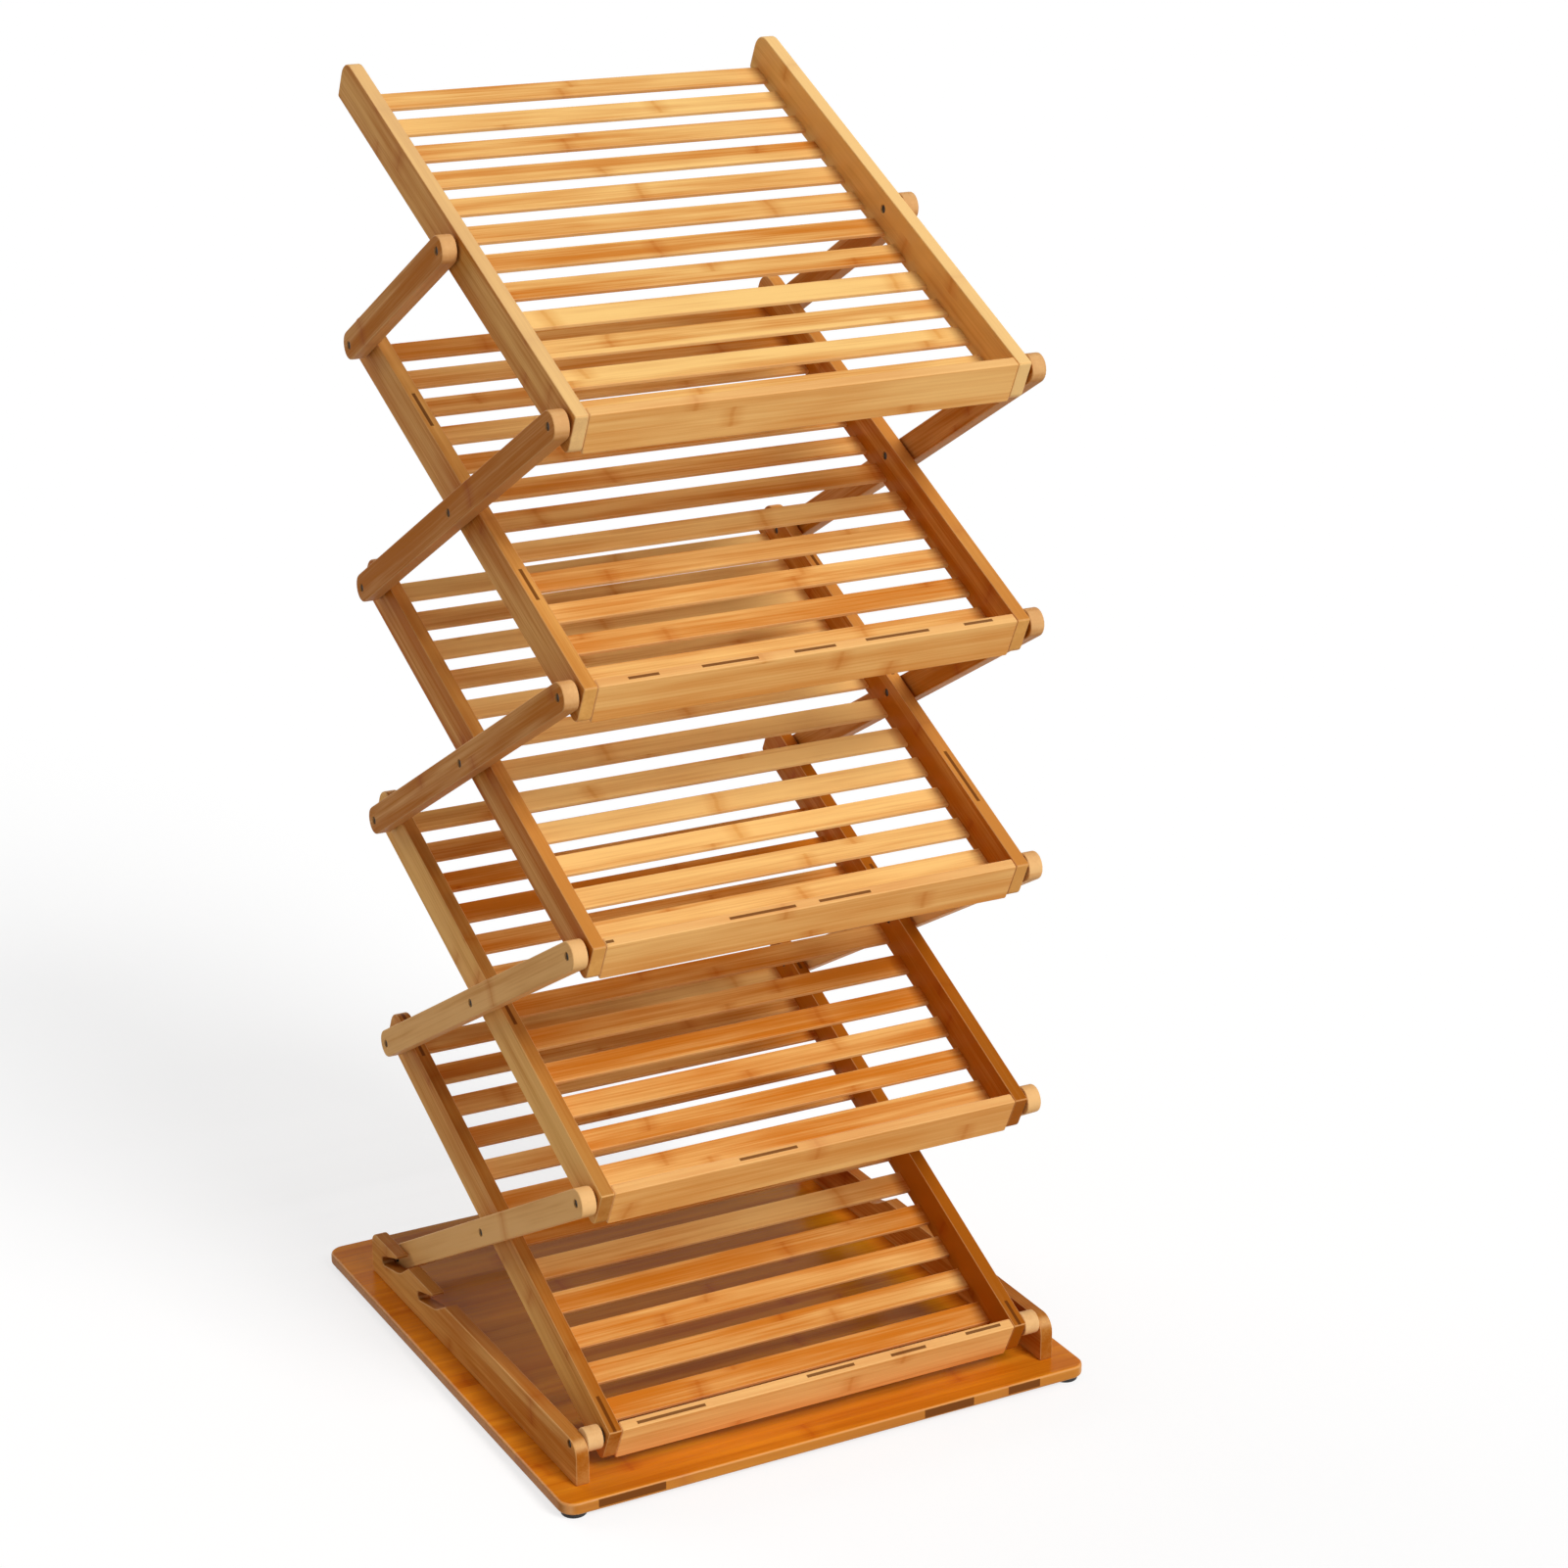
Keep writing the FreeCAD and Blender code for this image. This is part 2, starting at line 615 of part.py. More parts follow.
def make_base_rail(word, side):
    body = new_body(f"base_rail_{word}")
    start = slab_start(side, base_inner, size("base_rail_thick"))
    outline = sketch_on(body, "YZ_Plane", start, "outline")
    draw_rectangle(outline, base_front, base_rear, board_top, base_top)
    draw_circle(outline, pivot_y, pivot_z, pin_radius)
    pad(body, outline, size("base_rail_thick"), "bar")
    nose = edges_at(body.Tip, "X", base_front.number, base_top.number)
    round_edges(body, nose, size("base_rail_nose"), "nose")
    heel = edges_at(body.Tip, "X", base_rear.number, base_top.number)
    round_edges(body, heel, size("base_rail_heel"), "heel")
    slots = sketch_on(body, "YZ_Plane", start, "slots")
    half_mouth = size("slot_mouth") / 2
    knees = []
    teeth = []
    for y, z in rod_spots:
        mouth = y - size("slot_run")
        knees.append((y - size("knee_run"), z + size("knee_rise")))
        teeth.append((mouth + half_mouth, base_top))
        draw_hook(slots, (y, z), knees[-1], (mouth - half_mouth, base_top), teeth[-1],
                  base_top + half_mouth, slot_radius)
    pocket(body, slots, size("base_rail_thick"), "slot_cut", True)
    for spots, alias in ((knees, "knee_round"), (teeth, "tooth_round")):
        corners = []
        for across, up in spots:
            corners += edges_at(body.Tip, "X", across.number, up.number)
        round_edges(body, corners, size(alias), f"{alias}ing")
    holes = sketch_on(body, "XY_Plane", board_top, "screw_holes")
    for spot in screw_spots:
        draw_circle(holes, screw_x * side, spot, size("screw_dia") / 2)
    grip = size("screw_length") + head_deep - size("board_thick")
    pocket(body, holes, grip, "screw_hole_cut", True)
    finish_piece(body, *AT_HOME)


def make_base_screws():
    """Screws from below hold the base rails on the board."""
    screws = []
    for word, side in SIDES:
        for n, spot in enumerate(screw_spots):
            screws.append(make_screw(f"base_screw_{word}_{n}", screw_x * side, spot,
                                     size("foot_height") + size("screw_play"), size("screw_length")))
    finish_piece(group("base_screws", screws), *AT_HOME)


def make_feet():
    feet = []
    x = board_half_width - size("foot_inset")
    y = board_half_depth - size("foot_inset")
    for n, (a, b) in enumerate(((-1, -1), (1, -1), (1, 1), (-1, 1))):
        feet.append(cylinder(f"foot_{n}", "Z", (x * a, y * b, ZERO), size("foot_height"),
                             size("foot_dia") / 2))
    finish_piece(group("rubber_feet", feet), *AT_HOME)


def make_front_pivot():
    """Pins, spacers and washers that carry the lowest shelf between the base rails."""
    pins = []
    spacers = []
    washers = []
    length = base_outer - rail_inner - size("pin_recess") * 2
    wide = base_inner - strut_inner
    for word, side in SIDES:
        start = rail_inner + size("pin_recess") if side > 0 else size("pin_recess") - base_outer
        pins.append(cylinder(f"front_pin_{word}", "X", (start, ZERO, ZERO), length, pin_radius))
        start = strut_inner if side > 0 else -base_inner
        spacers.append(make_ring(f"spacer_{word}", start, ZERO, wide, size("spacer_dia") / 2))
        washers.append(make_washer(f"front_washer_{word}", side, ZERO))
    finish_piece(group("front_pivot_pins", pins), pivot_y, pivot_z, -1, lean)
    finish_piece(group("front_spacers", spacers), pivot_y, pivot_z, -1, lean)
    finish_piece(group("front_washers", washers), pivot_y, pivot_z, -1, lean)


make_base_board()
for word, side in SIDES:
    make_base_rail(word, side)
make_base_screws()
make_feet()
make_front_pivot()
for level in range(1, shelf_count + 1):
    for word, side in SIDES:
        make_shelf_rail(level, word, side)
        make_strut(level, word, side)
    make_lip(level)
    make_lip_dowels(level)
    make_slats(level)
    make_strut_pins(level)
    make_strut_washers(level)
make_lock_rod()
doc.recompute()

for obj in doc.Objects:
    if "Invalid" in obj.State or "Error" in obj.State:
        raise RuntimeError(f"{obj.Label}: {obj.State}")
for piece in pieces:
    shape = piece.Shape
    if shape.isNull() or not shape.isValid() or not shape.Solids:
        raise RuntimeError(f"{piece.Label}: no valid solid")
    shape.exportStep(f"parts/{piece.Label}.step")
    print(piece.Label, len(shape.Solids), round(shape.Volume, 1))
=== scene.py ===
# %% [markdown]
# # Dressing a folding bamboo magazine rack
# The rack comes in as a fixed frame of measured pieces, in metres, with its hinges already placed.
# Nothing here moves or resizes them. Each bamboo bar is drawn again in the same place with softly
# rounded arrises, which the plain solids lack, and then every piece gets its finish.

# %% Load the frame
import json
import math

import bpy
import numpy as np
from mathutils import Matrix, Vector
from mathutils.geometry import tessellate_polygon

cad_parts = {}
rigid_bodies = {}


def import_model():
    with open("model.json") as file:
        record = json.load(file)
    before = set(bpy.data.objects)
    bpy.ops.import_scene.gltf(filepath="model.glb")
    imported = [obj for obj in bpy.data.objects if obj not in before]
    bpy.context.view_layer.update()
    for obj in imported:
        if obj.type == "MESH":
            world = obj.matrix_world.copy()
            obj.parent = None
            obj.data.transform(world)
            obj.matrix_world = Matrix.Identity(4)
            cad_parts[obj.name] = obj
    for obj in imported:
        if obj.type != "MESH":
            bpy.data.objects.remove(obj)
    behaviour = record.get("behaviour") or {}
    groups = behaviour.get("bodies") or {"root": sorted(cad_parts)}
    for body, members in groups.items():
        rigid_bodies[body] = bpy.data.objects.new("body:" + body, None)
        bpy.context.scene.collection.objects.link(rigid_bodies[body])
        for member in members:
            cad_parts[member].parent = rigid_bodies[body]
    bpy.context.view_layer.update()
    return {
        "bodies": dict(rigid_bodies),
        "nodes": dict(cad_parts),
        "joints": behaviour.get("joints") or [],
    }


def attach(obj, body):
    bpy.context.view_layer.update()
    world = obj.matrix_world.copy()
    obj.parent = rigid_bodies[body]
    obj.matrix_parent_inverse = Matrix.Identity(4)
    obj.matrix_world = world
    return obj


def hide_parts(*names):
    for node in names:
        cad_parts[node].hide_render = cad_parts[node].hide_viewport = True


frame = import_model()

MM = 0.001

# %% [markdown]
# ## The camera
# The rack was seen from its left front, a little from above, through a long lens. A camera can be
# keyed in by its place and turn, or by where it looks and from which side. The second is easier to
# read: a point to aim at, two angles and a distance.

# %% Aim the camera
AIM = Vector((0.056, -0.036, 0.424))
AZIMUTH = math.radians(-28.4)
ELEVATION = math.radians(19.1)
DISTANCE = 2.45
LENS_MM = 80

towards_camera = Vector((
    math.sin(AZIMUTH) * math.cos(ELEVATION),
    -math.cos(AZIMUTH) * math.cos(ELEVATION),
    math.sin(ELEVATION),
))
camera_data = bpy.data.cameras.new("camera")
camera_data.lens = LENS_MM
camera = bpy.data.objects.new("camera", camera_data)
camera.location = AIM + towards_camera * DISTANCE
camera.rotation_euler = (-towards_camera).to_track_quat("-Z", "Y").to_euler()
bpy.context.scene.collection.objects.link(camera)
bpy.context.scene.camera = camera
print("camera at", [round(x, 3) for x in camera.location])

# %% [markdown]
# ## Small helpers for node trees
# A finish is a tree of shader nodes. Wiring it by hand in code is long-winded, so a few short helpers
# set or link a socket, add a node, do a sum, blend two colours and map one range onto another. Colours
# are written as on a paint chart and turned into the linear light that shaders work with.

# %% Node helpers
def wire(tree, socket, value):
    """Links a socket to another node's output, or sets its plain value."""
    if isinstance(value, bpy.types.NodeSocket):
        tree.links.new(value, socket)
    else:
        socket.default_value = value


def add(tree, kind, inputs=None, **settings):
    """Adds a shader node, sets it up and fills its inputs by name or number."""
    made = tree.nodes.new("ShaderNode" + kind)
    for key, value in settings.items():
        setattr(made, key, value)
    for key, value in (inputs or {}).items():
        wire(tree, made.inputs[key], value)
    return made


def maths(tree, operation, *values):
    """One sum on numbers or sockets."""
    return add(tree, "Math", dict(enumerate(values)), operation=operation).outputs[0]


def blend_colours(tree, share, first, second, way="MIX"):
    """Lays the second colour over the first, mixed or multiplied, by a share from 0 to 1."""
    mixer = add(tree, "Mix", {0: share, 6: first, 7: second}, data_type="RGBA", blend_type=way)
    return mixer.outputs[2]


def between(tree, value, low, high, start=0.0, end=1.0):
    """Maps low..high smoothly onto start..end."""
    inputs = {0: value, 1: low, 2: high, 3: start, 4: end}
    return add(tree, "MapRange", inputs, interpolation_type="SMOOTHSTEP").outputs[0]


def paint(red, green, blue):
    """A colour as a paint chart gives it, 0 to 255, as linear light with full cover."""
    share = np.array([red, green, blue]) / 255
    linear = np.where(share <= 0.04045, share / 12.92, ((share + 0.055) / 1.055) ** 2.4)
    return (*linear.tolist(), 1.0)


# %% [markdown]
# ## The studio
# The rack stands on a white sweep in soft light from the front, and a weaker lamp behind it on the
# left opens up the sides. An area lamp would fade with distance and leave the sweep grey far off, so
# both are suns with very wide discs: even everywhere, with soft shadows. The sky gives the fill.
# Rays that go straight to the camera, or that a glossy face sends out, see the room white.

# %% Lamps and white room
scene = bpy.context.scene
scene.view_settings.view_transform = "Standard"
WHITE = (1.0, 1.0, 1.0, 1.0)
FILL_STRENGTH = 0.24


def sun(name, strength, spread, source):
    """A lamp as far off as the sun, whose shadows are as soft as its disc, in degrees, is wide."""
    data = bpy.data.lights.new(name, "SUN")
    data.energy = strength
    data.angle = math.radians(spread)
    lamp = bpy.data.objects.new(name, data)
    lamp.rotation_euler = Vector(source).to_track_quat("Z", "Y").to_euler()
    scene.collection.objects.link(lamp)
    print(name, "of strength", strength, "from", source)


def seen_directly(tree):
    """1 for rays that show the studio itself: to the camera, off a gloss or through glass."""
    path = add(tree, "LightPath").outputs
    straight = maths(tree, "MAXIMUM", path["Is Camera Ray"], path["Is Glossy Ray"])
    return maths(tree, "MAXIMUM", straight, path["Is Transmission Ray"])


sun("key_light", strength=2.6, spread=24, source=(0.3, -1.0, 0.85))
sun("rear_light", strength=0.9, spread=40, source=(-0.4, 0.9, 0.45))

world = bpy.data.worlds.new("white_room")
world.use_nodes = True
scene.world = world
sky = world.node_tree
seen = seen_directly(sky)
backdrop = sky.nodes["Background"]
backdrop.inputs["Color"].default_value = WHITE
wire(sky, backdrop.inputs["Strength"], between(sky, seen, 0.0, 1.0, FILL_STRENGTH, 1.0))

# %% [markdown]
# ## The floor
# A white floor under plain light would come out pale grey. So to the camera it is part lamp, part
# paint: its glow gives most of the white, and the light that falls on it makes up the rest. Where the
# rack keeps that light away, its shadow shows. For the light that bounces on, it is a pale grey.

# %% Floor
FLOOR_HALF = 60.0
FLOOR_BOUNCE = (0.6, 0.6, 0.6, 1.0)
FLOOR_PAINT = (0.32, 0.32, 0.32, 1.0)
FLOOR_GLOW = 0.72

floor_mesh = bpy.data.meshes.new("floor")
corner_signs = np.array([(-1, -1, 0), (1, -1, 0), (1, 1, 0), (-1, 1, 0)])
floor_mesh.from_pydata((corner_signs * FLOOR_HALF).tolist(), [], [(0, 1, 2, 3)])
floor = bpy.data.objects.new("floor", floor_mesh)
scene.collection.objects.link(floor)
floor_paint = bpy.data.materials.new("floor_paint")
floor_paint.use_nodes = True
sweep = floor_paint.node_tree
sweep.nodes.remove(sweep.nodes["Principled BSDF"])
bounce = add(sweep, "BsdfDiffuse", {"Color": FLOOR_BOUNCE}).outputs[0]
lit = add(sweep, "BsdfDiffuse", {"Color": FLOOR_PAINT}).outputs[0]
glow = add(sweep, "Emission", {"Color": WHITE, "Strength": FLOOR_GLOW}).outputs[0]
shown = add(sweep, "AddShader", {0: glow, 1: lit}).outputs[0]
surface = add(sweep, "MixShader", {0: seen_directly(sweep), 1: bounce, 2: shown}).outputs[0]
wire(sweep, sweep.nodes["Material Output"].inputs["Surface"], surface)
floor_mesh.materials.append(floor_paint)
print("floor at z = 0,", 2 * FLOOR_HALF, "m wide")

# %% [markdown]
# ## Where the bars lie
# Seen from the side, the rack is a row of crossed bars: shelves that climb to the rear and struts
# that fall to the rear, with equal arms, pinned where they cross and where they meet. The hinges are
# in the frame, so the two directions come from them and no angle has to be typed in.

# %% Read the linkage
joints = {joint["name"]: joint for joint in frame["joints"]}
LEVELS = range(1, 1 + sum(name.startswith("shelf_") for name in frame["bodies"]))
SIDES = {"left": -1, "right": 1}


def pivot(name):
    """A hinge's place in space, on the rack's middle plane."""
    return np.array(joints[name]["pos_m"])


def unit(vector):
    """The same direction with a length of 1."""
    return vector / np.linalg.norm(vector)


front = {level: pivot("fold" if level == 1 else f"front_{level}") for level in LEVELS}
cross = {level: pivot(f"cross_{level}") for level in LEVELS}
half_arm = np.linalg.norm(cross[1] - front[1])
WIDE = np.array([1.0, 0.0, 0.0])
DEEP = np.array([0.0, 1.0, 0.0])
HIGH = np.array([0.0, 0.0, 1.0])
climb = unit(cross[1] - front[1])
fall = unit(cross[1] - front[2])
shelf_up = np.cross(WIDE, climb)
strut_up = np.cross(WIDE, fall)


def axes_of(along, across):
    """A bar's own axes as rows: along its grain, across it, and square to its broad face."""
    return np.stack([along, across, np.cross(along, across)])


def measured_points(node):
    """All points of a measured piece, one row each."""
    vertices = frame["nodes"][node].data.vertices
    points = np.empty(len(vertices) * 3, np.float32)
    vertices.foreach_get("co", points)
    return points.reshape(-1, 3)


def reach(node, origin, axes):
    """Lowest and highest reach of a measured piece along each of a bar's axes."""
    local = (measured_points(node) - origin) @ axes.T
    return local.min(0), local.max(0)


tilt = math.degrees(math.asin(climb[2]))
print("arm", round(2 * half_arm / MM, 1), "mm, shelves climb", round(tilt, 2), "degrees")

# %% [markdown]
# ## How a bar is drawn
# Every bar of the rack is a flat piece: an outline with some thickness, and its sharp arrises taken
# off with sandpaper. A box with a Bevel modifier would do for the plain ones. Here the outline is
# worked out as an array of points with its outward directions: a chain of corners with an arc at each,
# or a circle for a pin and its hole.

# %% Outlines
def box_corners(low, high):
    """The four corners of an upright box, counter-clockwise from the lowest."""
    return [(low[0], low[1]), (high[0], low[1]), (high[0], high[1]), (low[0], high[1])]


def rounded_outline(corners, radii, steps=7):
    """A closed outline with an arc at each corner, counter-clockwise.

    With outward directions m before and after a corner, and the turn t between them, an arc of
    radius r has its centre at corner - r (m1 + m2) / (1 + cos t), and its points at centre + r m
    as m swings from m1 to m2. At a hollow corner both signs of r change.
    """
    corners = np.asarray(corners, float)
    radii = np.broadcast_to(np.asarray(radii, float), len(corners))[:, None]
    ahead = np.roll(corners, -1, 0) - corners
    ahead = ahead / np.linalg.norm(ahead, axis=1, keepdims=True)
    before = np.roll(ahead, 1, 0)
    turn = np.arctan2(before[:, 0] * ahead[:, 1] - before[:, 1] * ahead[:, 0], (before * ahead).sum(1))
    radii = radii * np.sign(turn)[:, None]
    out_before = np.stack([before[:, 1], -before[:, 0]], 1)
    out_ahead = np.stack([ahead[:, 1], -ahead[:, 0]], 1)
    centres = corners - radii * (out_before + out_ahead) / (1 + np.cos(turn))[:, None]
    start = np.arctan2(out_before[:, 1], out_before[:, 0])
    swing = start[:, None] + turn[:, None] * np.linspace(0, 1, steps)
    outward = np.stack([np.cos(swing), np.sin(swing)], -1)
    points = centres[:, None] + radii[:, None] * outward
    return points.reshape(-1, 2), outward.reshape(-1, 2)


def round_outline(middle, radius, steps=40):
    """A disc's outline: middle + radius (cos t, sin t)."""
    t = np.linspace(0, 2 * np.pi, steps, endpoint=False)
    spokes = np.stack([np.cos(t), np.sin(t)], 1)
    return np.asarray(middle) + radius * spokes, spokes


def bored_hole(middle, radius, steps=24):
    """The same circle run clockwise, with the outward side towards its middle."""
    points, spokes = round_outline(middle, radius, steps)
    return points[::-1], -spokes[::-1]


# %% [markdown]
# ## From an outline to a plate
# The outline is carried through the thickness. Near each face it draws in along a quarter circle. The
# same sum gives the exact surface direction at each point, so the flat faces shade flat and the
# arrises catch a clean highlight.

# %% The eased plate
HOLE_EASE = 0.25 * MM


def eased_plate(loops, low, high, ease, rounds=4):
    """Points, surface directions, side quads and cap triangles of a flat piece with rounded arrises.

    Each loop is an outline with its outward directions m. With a from 0 to 90 degrees, a point p
    draws in to p - ease (1 - sin a) m at the height low + ease (1 - cos a), and the same from the
    other face, so the surface direction is (m sin a, -+ cos a). The two faces are filled flat. The
    loops after the first are holes, whose rims are drilled nearly sharp.
    """
    a = np.linspace(0, np.pi / 2, rounds)
    sideways = np.concatenate([np.sin(a), np.sin(a)[::-1]])
    upward = np.concatenate([-np.cos(a), np.cos(a)[::-1]])
    rings = 2 * rounds
    points, directions, quads, low_rim, high_rim = [], [], [], [], []
    start = 0
    for outline, outward in loops:
        count = len(outline)
        soft = min(ease, HOLE_EASE) if points else ease
        inset = soft * (1 - sideways)
        rise = soft * (1 - np.cos(a))
        height = np.concatenate([low + rise, (high - rise)[::-1]])
        flat = outline[None] - inset[:, None, None] * outward[None]
        tall = np.broadcast_to(height[:, None, None], (rings, count, 1))
        points.append(np.concatenate([flat, tall], -1).reshape(-1, 3))
        lean = np.broadcast_to(upward[:, None, None], (rings, count, 1))
        spread = sideways[:, None, None] * outward[None]
        directions.append(np.concatenate([spread, lean], -1).reshape(-1, 3))
        ring, step = np.meshgrid(np.arange(rings - 1) * count, np.arange(count), indexing="ij")
        after = (step + 1) % count
        around = [ring + step, ring + after, ring + count + after, ring + count + step]
        quads.append(start + np.stack(around, -1).reshape(-1, 4))
        low_rim.append(start + np.arange(count))
        high_rim.append(start + (rings - 1) * count + np.arange(count))
        start += rings * count
    points = np.concatenate(points)
    rims = [points[rim].tolist() for rim in low_rim]
    fill = np.array(tessellate_polygon(rims))
    one, two, three = (points[np.concatenate(low_rim)][fill[:, n], :2] for n in range(3))
    first, second = two - one, three - one
    backwards = first[:, 0] * second[:, 1] < first[:, 1] * second[:, 0]
    fill[backwards] = fill[backwards][:, ::-1]
    caps = [np.concatenate(low_rim)[fill[:, ::-1]], np.concatenate(high_rim)[fill]]
    return points, np.concatenate(directions), np.concatenate(quads), np.concatenate(caps)


# %% [markdown]
# ## From arrays to a piece
# Wood grain runs along each bar, whichever way the bar points, and it has to stay put when the rack
# folds. So each point also carries where it is on its own bar: along, across and through. A random
# offset per bar keeps two bars from showing the same figure. It carries which way its surface faces on
# the bar too: a cut end, a narrow edge or a broad face. Two numbers are the same all over a bar: how
# pale it is, and how much dark skin is left on its edges. The finish reads these values.

# %% Make a piece
dice = np.random.default_rng(5)
FIGURE_SPREAD = 40.0
BAR_VALUES = {
    "grain": ("FLOAT_VECTOR", "vector"),
    "facing": ("FLOAT_VECTOR", "vector"),
    "through": ("FLOAT", "value"),
    "tone": ("FLOAT", "value"),
    "skin": ("FLOAT", "value"),
}


def bar(loops, low, high, ease, origin, axes, tone=0.5, skin=0.0):
    """One eased plate set in place: world = origin + local times axes, with its grain values."""
    local, directions, quads, caps = eased_plate(loops, low, high, ease)
    offset = dice.uniform(-FIGURE_SPREAD, FIGURE_SPREAD, 3)
    return {
        "points": origin + local @ axes,
        "directions": directions @ axes,
        "quads": quads,
        "caps": caps,
        "grain": local + offset,
        "facing": np.abs(directions),
        "through": local[:, 2] - (low + high) / 2,
        "tone": np.full(len(local), tone),
        "skin": np.full(len(local), skin),
    }


def make_piece(name, bars, finish, slot, body, *nodes):
    """Joins bars into one mesh with smooth exact normals, and lets it ride and stand for its nodes."""
    start = 0
    faces = []
    for one in bars:
        faces += (one["quads"] + start).tolist() + (one["caps"] + start).tolist()
        start += len(one["points"])
    joined = {key: np.concatenate([one[key] for one in bars])
              for key in ("points", "directions", *BAR_VALUES)}
    mesh = bpy.data.meshes.new(name)
    mesh.from_pydata(joined["points"].tolist(), [], faces)
    for key, (kind, field) in BAR_VALUES.items():
        values = joined[key].astype(np.float32).ravel()
        mesh.attributes.new(key, kind, "POINT").data.foreach_set(field, values)
    mesh.shade_smooth()
    mesh.normals_split_custom_set_from_vertices(joined["directions"].tolist())
    mesh.materials.append(finish)
    piece = bpy.data.objects.new(name, mesh)
    scene.collection.objects.link(piece)
    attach(piece, body)
    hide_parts(*nodes)
    print("made", name, "with", len(bars), "bars and", len(faces), "faces")


# %% [markdown]
# ## The bamboo
# Planed bamboo is glued up from strips. Its figure has five parts: fine straight fibres, broader
# streaks, soft clouds, a tone of its own for each strip, and the joints of the cane, which cross each
# strip as a darker band every quarter metre or so. A picture would repeat from bar to bar, so the
# figure is worked out from the grain values instead: noise drawn out long along the grain, and a wave
# for the joints.

# %% Figure of the cane
FIBRE_SCALE = (12.0, 700.0, 700.0)
STREAK_SCALE = (5.0, 95.0, 95.0)
CLOUD_SCALE = (9.0, 26.0, 26.0)
NOISE_ROUGHNESS = 0.55
NOISE_LOW, NOISE_HIGH = 0.28, 0.72
JOINT_SPACING = 0.26
JOINT_SHUFFLE = 3
JOINT_WAVE = 5 * MM
JOINT_BAND = (12 * MM, 1 * MM)
JOINT_LINE = (2.6 * MM, 0.4 * MM)


def stretched_noise(tree, vector, scale, detail=3.0):
    """Noise drawn out by a scale for each axis, spread to fill 0..1."""
    drawn = add(tree, "Mapping", {"Vector": vector, "Scale": scale}).outputs[0]
    settings = {"Vector": drawn, "Scale": 1.0, "Detail": detail, "Roughness": NOISE_ROUGHNESS}
    return between(tree, add(tree, "TexNoise", settings).outputs[0], NOISE_LOW, NOISE_HIGH)


def dice_roll(tree, first, second):
    """A random number from 0 to 1 for each pair of whole numbers."""
    pair = add(tree, "CombineXYZ", {0: first, 1: second}).outputs[0]
    return add(tree, "TexWhiteNoise", {"Vector": pair}, noise_dimensions="2D").outputs["Value"]


def cane_joints(tree, along, cloud, strip_tone):
    """The cane's joints: a soft band and a finer line, at a different place on each strip."""
    shifted = maths(tree, "MULTIPLY_ADD", strip_tone, JOINT_SPACING * JOINT_SHUFFLE, along)
    wavy = maths(tree, "MULTIPLY_ADD", cloud, JOINT_WAVE, shifted)
    beside = maths(tree, "PINGPONG", wavy, JOINT_SPACING / 2)
    return between(tree, beside, *JOINT_BAND), between(tree, beside, *JOINT_LINE)


# %% [markdown]
# ## Dark dashes on the edges
# The dark skin of the cane is planed off the broad faces. Where two strips meet, a little of it is
# left, and on the narrow edges it shows as dark dashes of uneven length. Small boxes would stand out
# when the light moves. So the edge is divided into cells, and in some of them, by a roll of the dice,
# a dash is painted.

# %% Edge dashes
DASH_CELL = 62 * MM
DASH_SHORTEST = 0.14
DASH_SPREAD = 0.30
DASH_SWAY = 1.6 * MM
DASH_BLUR = 0.5 * MM
DASH_FACING = (0.75, 0.95)


def edge_dashes(tree, along, through, edge, seed, share, half_width):
    """Dark dashes on narrow edges: a chance, a length and a sideways place for each cell."""
    cell_place = maths(tree, "DIVIDE", along, DASH_CELL)
    cell = maths(tree, "FLOOR", cell_place)
    off_middle = maths(tree, "SUBTRACT", 0.5, maths(tree, "PINGPONG", cell_place, 0.5))
    length_roll = dice_roll(tree, maths(tree, "ADD", cell, 0.5), seed)
    half_length = maths(tree, "MULTIPLY_ADD", length_roll, DASH_SPREAD, DASH_SHORTEST)
    inside = maths(tree, "SUBTRACT", half_length, off_middle)
    drawn = between(tree, inside, 0.0, DASH_BLUR / DASH_CELL)
    chance = maths(tree, "LESS_THAN", dice_roll(tree, cell, seed), share)
    sway = maths(tree, "MULTIPLY_ADD", dice_roll(tree, seed, cell), DASH_SWAY, -DASH_SWAY / 2)
    beside = maths(tree, "ABSOLUTE", maths(tree, "SUBTRACT", through, sway))
    thin = between(tree, beside, half_width, half_width - DASH_BLUR)
    flat = between(tree, edge, *DASH_FACING)
    mask = maths(tree, "MULTIPLY", maths(tree, "MULTIPLY", drawn, chance), thin)
    return maths(tree, "MULTIPLY", mask, flat)


# %% [markdown]
# ## The finished bamboo
# The figure mixes a pale and a deep tone. Narrow edges and cut ends take a colour of their own, paler
# on most bars, and the rounded arrises are painted a little paler as a painted highlight. The varnish
# on most bars is so dull that it is left to their roughness. Only the lips and the board have a clear
# coat, the board the stronger one.

# %% Bamboo finish
SPECULAR = 0.04
VARNISH_ROUGHNESS = 0.18
FIBRE_SHARE, STREAK_SHARE, CLOUD_SHARE, STRIP_SHARE = 0.22, 0.34, 0.20, 0.24
TONE_SHARE = 0.7
START_DEPTH = 0.35
JOINT_TINT = (0.80, 0.60, 0.40, 1.0)
JOINT_SHARE = 0.5
LINE_SHARE = 0.6
CUT_END = paint(236, 190, 132)
CUT_FACING = (0.6, 0.95)
CUT_SHARE = 0.6
ARRIS_HIGHLIGHT_FACING = (0.97, 0.80)
ARRIS_HIGHLIGHT_SHARE = 0.35
DASH_BROWN = paint(98, 48, 10)
DASH_SHARE = 0.85
DASH_SEEDS = 8.0
STREAK_DULLING, FIBRE_DULLING = 0.10, 0.06
LINE_RELIEF = 0.8


